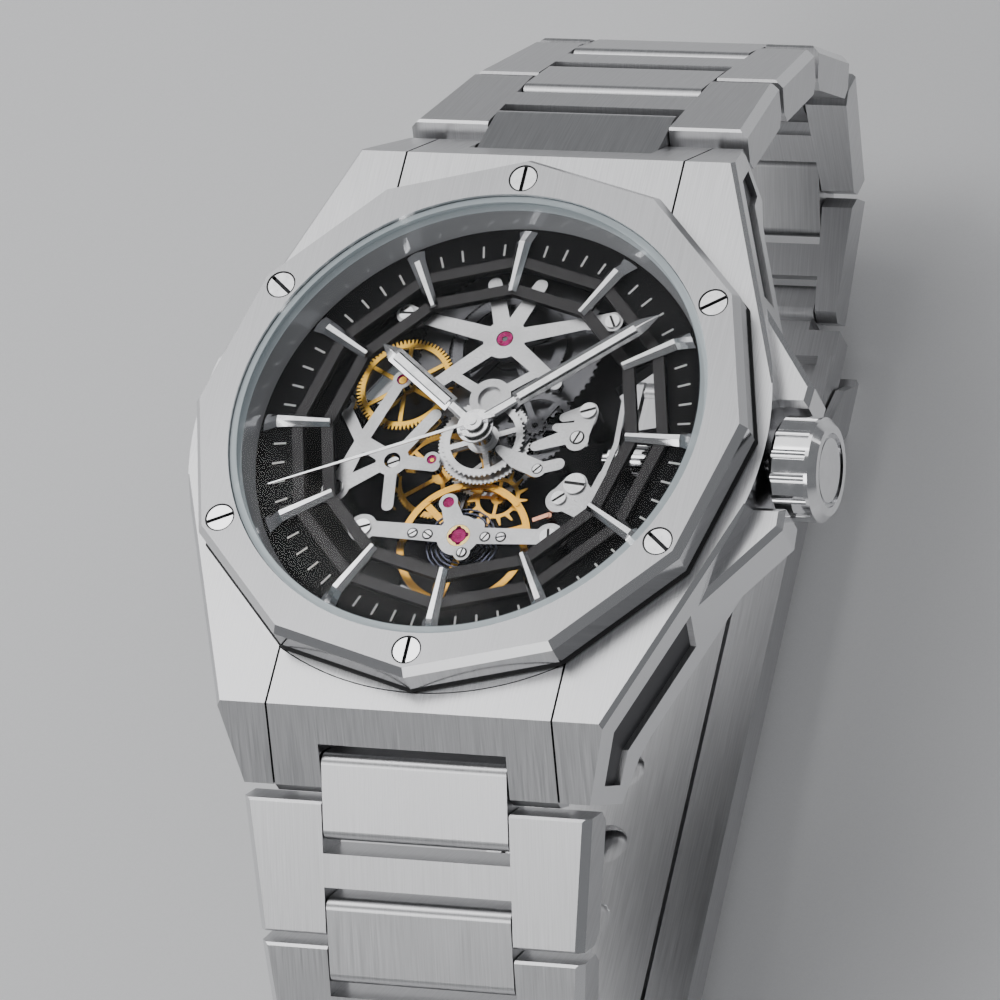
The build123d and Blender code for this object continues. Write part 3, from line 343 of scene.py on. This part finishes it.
def paint(name, colour, rough=0.45):
    """Matt paint, print or paper with a fine tooth."""
    look = Look(name, 0.0)
    grit = look.noise((9.0, 9.0, 9.0), 3.0)
    look.give("Base Color", look.mix(grit, tuple(c * 0.9 for c in colour), colour))
    look.give("Roughness", look.span(grit, 0.3, 0.7, rough * 0.85, rough * 1.15))
    look.bump(grit, 0.003, 0.3)
    return look.material


def dress(material, *names):
    """Give CAD nodes a material of their own."""
    for name in names:
        mesh = NODES[name].data
        mesh.materials.clear()
        mesh.materials.append(material)


def soften(width, *names):
    """Small bevel on the sharp edges of CAD nodes, so that they catch the light."""
    for name in names:
        modifier = NODES[name].modifiers.new("edges", "BEVEL")
        modifier.width = width * MM
        modifier.segments = 2
        modifier.limit_method = "ANGLE"
        modifier.angle_limit = radians(35)
        modifier.harden_normals = False


CHAIN = [f"{kind}_{side}_{number}" for side in (12, 6) for number in range(1, 6)
         for kind in ("centre_link", "outer_link")]
CLASP = ["clasp_cover", "clasp_long_blade", "clasp_short_blade", "clasp_safety_catch"]

CASE_STEEL = case_look()
LINK_STEEL = steel("link_steel", skewed)
BEZEL_STEEL = steel("bezel_steel", tilted, (0.44, 0.44, 0.45))
POLISHED = polished("polished_steel_finish")
BRIDGE = satin("bridge_steel_finish", (0.62, 0.62, 0.63), 0.4)
DARK_STEEL = satin("dark_steel_finish", (0.13, 0.13, 0.14), 0.35)
PLATE = satin("dark_plate_finish", (0.016, 0.016, 0.018), 0.45, 0.5, gloss=0.12)
LUME = paint("white_lume", (0.85, 0.86, 0.84))
# Black for painted shade: screw slots, rings round screws, and the gaps round and under the bezel.
SHADOW = paint("painted_shade_black", (0.012, 0.012, 0.013), 0.6)
GILT = satin("gilt_spring_finish", (0.83, 0.6, 0.24), 0.25)
COPPER = satin("copper_finish", (0.86, 0.42, 0.28), 0.3)
RUBY = ruby_look()
GILT_WINDING = turned("gilt_winding", (0.92, 0.54, 0.08), WINDING_CENTRE)

dress(CASE_STEEL, "case_middle", "end_link_12", "end_link_6", "case_back")
dress(BEZEL_STEEL, "bezel")
dress(LINK_STEEL, *CHAIN, *CLASP)
dress(POLISHED, "crown", "winding_stem", "movement_screws", "hour_indices")
dress(screw_look("bezel_screw_polish_and_slot_shade", 11.7), "bezel_screws")
dress(hand_look("hour_hand_steel", HOUR_ANGLE, 2.7, 9.0), "hour_hand")
dress(hand_look("minute_hand_steel", MINUTE_ANGLE, 3.3, 13.1), "minute_hand")
dress(polished("seconds_hand_steel", (0.86, 0.86, 0.87), 0.16), "seconds_hand")
dress(satin("flange_steel", (0.52, 0.53, 0.55), 0.5, 0.35), "inner_flange")
dress(crystal_look("crystal_finish", 16.55), "crystal")
dress(crystal_look("back_crystal_finish", 14.2), "back_crystal")
dress(dial_look(), "dial")
dress(PLATE, "main_plate")
dress(BRIDGE, "barrel_bridge", "train_bridge", "balance_bridge", "keyless_plates")
dress(DARK_STEEL, "mainspring_barrel", "ratchet_wheel", "minute_wheel", "pallet_fork", "rotor")
dress(GILT_WINDING, "winding_wheel")
dress(turned("gilt_balance", (0.88, 0.47, 0.07), BALANCE_CENTRE), "balance_wheel")
dress(turned("gilt_train", (0.88, 0.49, 0.09), (1.3, -3.56)), "third_wheel", "escape_wheel")
dress(turned("bright_train", (0.7, 0.7, 0.71), (0, 0)), "center_wheel", "fourth_wheel", "hour_wheel")
dress(RUBY, "movement_jewels")
dress(polished("blued_spring", (0.08, 0.085, 0.12), 0.25), "hairspring")

soften(0.07, "case_middle", "bezel", "end_link_12", "end_link_6", "case_back", *CHAIN, *CLASP)
soften(0.05, "barrel_bridge", "train_bridge", "balance_bridge", "keyless_plates")


# ---------------------------------------------------------------- small pieces
def place_mesh(name, bm, material):
    mesh = bpy.data.meshes.new(name)
    bm.to_mesh(mesh)
    bm.free()
    thing = bpy.data.objects.new(name, mesh)
    bpy.context.scene.collection.objects.link(thing)
    mesh.materials.append(material)
    return thing


def piece(name, bm, body, material, bevel=0.0):
    """Small part that rides on a body; bevel is in mm."""
    thing = place_mesh(name, bm, material)
    if bevel:
        modifier = thing.modifiers.new("edges", "BEVEL")
        modifier.width = bevel * MM
        modifier.segments = 2
        modifier.limit_method = "ANGLE"
    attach(thing, body)
    return thing


def prism(bm, points, z0, z1):
    """Upright solid on a plan outline, counter-clockwise, all in mm."""
    low = [bm.verts.new((x * MM, y * MM, z0 * MM)) for x, y in points]
    high = [bm.verts.new((x * MM, y * MM, z1 * MM)) for x, y in points]
    bm.faces.new(low[::-1])
    bm.faces.new(high)
    for i in range(len(points)):
        j = (i + 1) % len(points)
        bm.faces.new((low[i], low[j], high[j], high[i]))


def polar(radius, clock_angle):
    """Plan position at a radius and a clockwise angle from 12 o'clock."""
    return radius * sin(radians(clock_angle)), radius * cos(radians(clock_angle))


def radial_bar(bm, clock_angle, inner, outer, half_width, z0, z1):
    """Bar that runs outward at a clock angle."""
    half_length = (outer - inner) / 2
    middle = polar(inner + half_length, clock_angle)
    straight_bar(bm, middle, half_length, half_width, z0, z1, 90 - clock_angle)


def disc(bm, place, radius, z0, z1, count=28):
    """Upright round post or plate."""
    prism(bm, [(place[0] + radius * cos(2 * pi * i / count), place[1] + radius * sin(2 * pi * i / count))
               for i in range(count)], z0, z1)


def ring(bm, place, sections, z0, z1):
    """Closed flat ring from (turn angle, inner radius, outer radius) all the way round."""
    loops = [[bm.verts.new(((place[0] + radius * cos(a)) * MM, (place[1] + radius * sin(a)) * MM, z * MM))
              for radius, z in ((inner, z0), (outer, z0), (outer, z1), (inner, z1))]
             for a, inner, outer in sections]
    for i, here in enumerate(loops):
        there = loops[(i + 1) % len(loops)]
        for k in range(4):
            bm.faces.new((there[k], there[(k + 1) % 4], here[(k + 1) % 4], here[k]))


def annulus(bm, place, inner, outer, z0, z1, notches=0, count=36):
    """Round flat ring; notches are taken out of its inner edge."""
    sections = []
    for i in range(count):
        cut = notches and (i * notches) % count < notches * 3
        sections.append((2 * pi * i / count, inner + (outer - inner) * (0.55 if cut else 0.0), outer))
    ring(bm, place, sections, z0, z1)


def half_discs(bm, place, radius, gap, z0, z1, slot_angle, count=12):
    """The two halves of a slotted screw head."""
    for side in (0, 180):
        turn = radians(slot_angle + side)
        start = atan2(gap, radius)
        arc = [turn + start + (pi - 2 * start) * i / count for i in range(count + 1)]
        prism(bm, [(place[0] + radius * cos(a), place[1] + radius * sin(a)) for a in arc], z0, z1)


def straight_bar(bm, place, half_length, half_width, z0, z1, angle):
    """Straight bar about a middle point, turned anticlockwise by an angle from +X."""
    a = radians(angle)
    out, side = Vector((cos(a), sin(a))) * half_length, Vector((-sin(a), cos(a))) * half_width
    centre = Vector(place)
    prism(bm, [tuple(centre + p) for p in (out - side, out + side, -out + side, -out - side)], z0, z1)


def make_minute_ticks():
    """Printed ticks between the applied hour batons."""
    inner, outer, half_width, thickness = 14.2, 15.1, 0.07, 0.02
    bm = bmesh.new()
    for minute in range(60):
        if minute % 5:
            radial_bar(bm, 6 * minute, inner, outer, half_width, CHAPTER_RING_TOP - 0.01,
                       CHAPTER_RING_TOP + thickness)
    piece("minute_ticks", bm, "head", LUME)


# Slots of the CAD's movement screws: plan position, head radius, head top and slot angle.
SCREW_SLOTS = (((-7.14, -7.45), 0.62, 8.3, 20), ((6.55, -7.4), 0.62, 8.3, 100),
               ((-9.9, -4.5), 0.62, 8.25, 60), ((-10.87, 2.16), 0.6, 8.25, 10),
               ((-7.7, 9.3), 0.52, 8.64, 0), ((7.6, 9.35), 0.52, 8.64, 120),
               ((7.25, 2.46), 0.58, 8.3, 20), ((7.53, -3.26), 0.78, 8.32, -5),
               ((6.63, -4.4), 0.52, 8.3, 40))
# Screws that the CAD leaves out: plan position, head radius, height they stand on, head height, slot angle.
SMALL_SCREWS = (((-3.38, -7.65), 0.3, 8.15, 0.05, 35), ((-2.26, -7.7), 0.3, 8.15, 0.05, -30),
                ((1.95, -7.65), 0.3, 8.15, 0.05, 60), ((3.1, -7.6), 0.3, 8.15, 0.05, 15),
                ((0.53, -8.95), 0.3, 8.15, 0.08, 80), ((-6.23, -2.07), 0.44, 7.6, 0.2, 25),
                ((4.65, -2.35), 0.34, 8.3, 0.16, 50), ((6.87, 0.38), 0.44, 8.13, 0.08, 70))


def make_screw_slots():
    """Painted shade: dark bars on the floors of the slots of the CAD's movement screws."""
    bm = bmesh.new()
    for place, radius, top, angle in SCREW_SLOTS:
        half_width = 0.95 * (0.1 * radius + 0.04)
        straight_bar(bm, place, radius - 0.02, half_width, top - 0.068, top - 0.06, angle)
    piece("screw_slot_shadows", bm, "head", SHADOW)


def make_small_screws():
    """Slotted screws, each in a thin dark ring of painted shade, with painted shade on the floor of its slot.
    """
    heads, rings = bmesh.new(), bmesh.new()
    for place, radius, seat, height, angle in SMALL_SCREWS:
        slot_floor = seat + 0.4 * height
        disc(heads, place, radius, seat, slot_floor)
        half_discs(heads, place, radius, 0.16 * radius, slot_floor, seat + height, angle)
        # Painted shade: a dark ring round each head and a dark bar on its slot's floor.
        annulus(rings, place, radius - 0.01, radius + 0.1, seat, seat + 0.012)
        straight_bar(rings, place, 0.98 * radius, 0.14 * radius, slot_floor, slot_floor + 0.15 * height, angle)
    piece("small_screws", heads, "head", POLISHED, 0.01)
    piece("small_screw_shade_rings", rings, "head", SHADOW)


def make_bezel_seal_and_shade():
    """Black rings of painted shade in the gaps round the bezel screws, and the twelve-sided black seal under
    the bezel, which also stands in for the shade of the gap there.
    """
    bm = bmesh.new()
    # Painted shade: the rings fill the screw gaps, and the seal sticks out a little past the bezel to darken
    # the gap under it.
    gap_inner, gap_outer, gap_floor, gap_top = 0.955, 1.065, 11.4, 11.92
    seal_inner, seal_outer = 19.9, 20.43
    for hour in range(0, 12, 2):
        annulus(bm, polar(BEZEL_SCREW_CIRCLE, 30 * hour), gap_inner, gap_outer, gap_floor, gap_top)
    annulus(bm, (0, 0), seal_inner, seal_outer, BEZEL_FOOT + 0.01, BEZEL_FOOT + 0.17, count=12)
    piece("bezel_seal_and_shade", bm, "head", SHADOW)


def make_winding_wheel():
    """The gilt wheel again, with teeth deep enough to see."""
    teeth, root, tip, inner = 75, 3.3, 3.6, 2.95
    spoke_middle, hub, pivot = 1.9, 0.85, 0.3
    z0, z1, pivot_foot, pivot_top = 7.18, 7.38, 4.4, 8.0
    bm = bmesh.new()
    tooth = ((0.0, root), (0.3, root), (0.5, tip), (0.8, tip))
    sections = [(2 * pi * (i + part) / teeth, inner, radius) for i in range(teeth) for part, radius in tooth]
    ring(bm, WINDING_CENTRE, sections, z0, z1)
    for angle in range(35, 395, 60):
        dx, dy = polar(spoke_middle, 90 - angle)
        middle = (WINDING_CENTRE[0] + dx, WINDING_CENTRE[1] + dy)
        straight_bar(bm, middle, 1.2, 0.16, z0 + 0.02, z1 - 0.02, angle)
    disc(bm, WINDING_CENTRE, hub, z0 + 0.01, z1 + 0.01)
    disc(bm, WINDING_CENTRE, pivot, pivot_foot, pivot_top)
    wheel = piece("winding_wheel_toothed", bm, "winding", GILT_WINDING, 0.015)
    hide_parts("winding_wheel")


def make_shock_spring():
    """Notched ring that holds the balance jewel."""
    bm = bmesh.new()
    annulus(bm, BALANCE_CENTRE, 0.58, 0.84, BALANCE_BRIDGE_TOP - 0.09, BALANCE_BRIDGE_TOP - 0.01, 4)
    piece("shock_spring", bm, "head", GILT, 0.01)


def make_barrel_jewel():
    """Pierced ruby at the middle of the barrel bridge."""
    bm = bmesh.new()
    annulus(bm, BARREL_CENTRE, 0.2, 0.56, BARREL_BRIDGE_TOP - 0.07, BARREL_BRIDGE_TOP - 0.01)
    piece("barrel_jewel", bm, "head", RUBY, 0.02)


def make_copper_finger():
    """Small copper contact beside the balance, on its post."""
    middle, post, underside = (5.3, -5.55), (5.8, -5.3), 7.3
    bm = bmesh.new()
    straight_bar(bm, middle, 0.6, 0.17, underside, underside + 0.12, 25)
    disc(bm, post, 0.24, 4.9, underside)
    piece("copper_finger", bm, "head", COPPER, 0.02)


make_minute_ticks()
make_screw_slots()
make_small_screws()
make_bezel_seal_and_shade()
make_winding_wheel()
make_shock_spring()
make_barrel_jewel()
make_copper_finger()


# ---------------------------------------------------------------- floor, light and camera
def make_floor():
    """Plain pale floor under the bracelet."""
    lowest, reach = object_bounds()[0][2], 3.0
    bm = bmesh.new()
    corners = ((-reach, -reach), (reach, -reach), (reach, reach), (-reach, reach))
    bm.faces.new([bm.verts.new((x, y, lowest)) for x, y in corners])
    place_mesh("floor", bm, paint("floor_paper", (0.93, 0.93, 0.94), 0.6))


def softbox(name, direction, distance, size, power):
    """Area light that faces the watch from a direction, with its size in metres and its power in watts."""
    data = bpy.data.lights.new(name, "AREA")
    data.shape = "RECTANGLE"
    data.size, data.size_y = size
    data.energy = power
    lamp = bpy.data.objects.new(name, data)
    lamp.visible_camera = False
    bpy.context.scene.collection.objects.link(lamp)
    away = Vector(direction).normalized()
    lamp.location = away * distance
    lamp.rotation_euler = away.to_track_quat("Z", "Y").to_euler()


def make_world():
    """Even grey light from all round."""
    world = bpy.data.worlds.new("studio")
    world.use_nodes = True
    background = world.node_tree.nodes["Background"]
    background.inputs["Color"].default_value = (0.8, 0.82, 0.85, 1)
    background.inputs["Strength"].default_value = 0.26
    bpy.context.scene.world = world


def make_camera():
    """Long lens, half a metre away, from in front and to the right of the watch."""
    data = bpy.data.cameras.new("camera")
    data.lens = 267.03
    data.sensor_width = 36
    data.clip_start = 0.01
    camera = bpy.data.objects.new("camera", data)
    camera.location = (0.18649, -0.22352, 0.42693)
    camera.rotation_euler = [radians(angle) for angle in (30.129, 17.276, 12.983)]
    bpy.context.scene.collection.objects.link(camera)
    bpy.context.scene.camera = camera


make_floor()
make_world()
softbox("key", (-0.38, 0.36, 0.85), 0.4, (0.34, 0.3), 0.5)
softbox("low_key", (-0.45, 0.2, 0.87), 0.3, (0.12, 0.12), 0.12)
softbox("front_fill", (-0.36, -0.66, 0.64), 0.45, (0.3, 0.16), 0.55)
softbox("front_strip", (0.25, -0.95, 0.14), 0.45, (0.4, 0.1), 0.2)
softbox("back_fill", (0.6, 0.7, 0.5), 0.55, (0.3, 0.3), 0.35)
softbox("left_fill", (-0.95, -0.1, 0.3), 0.5, (0.2, 0.3), 0.15)
make_camera()
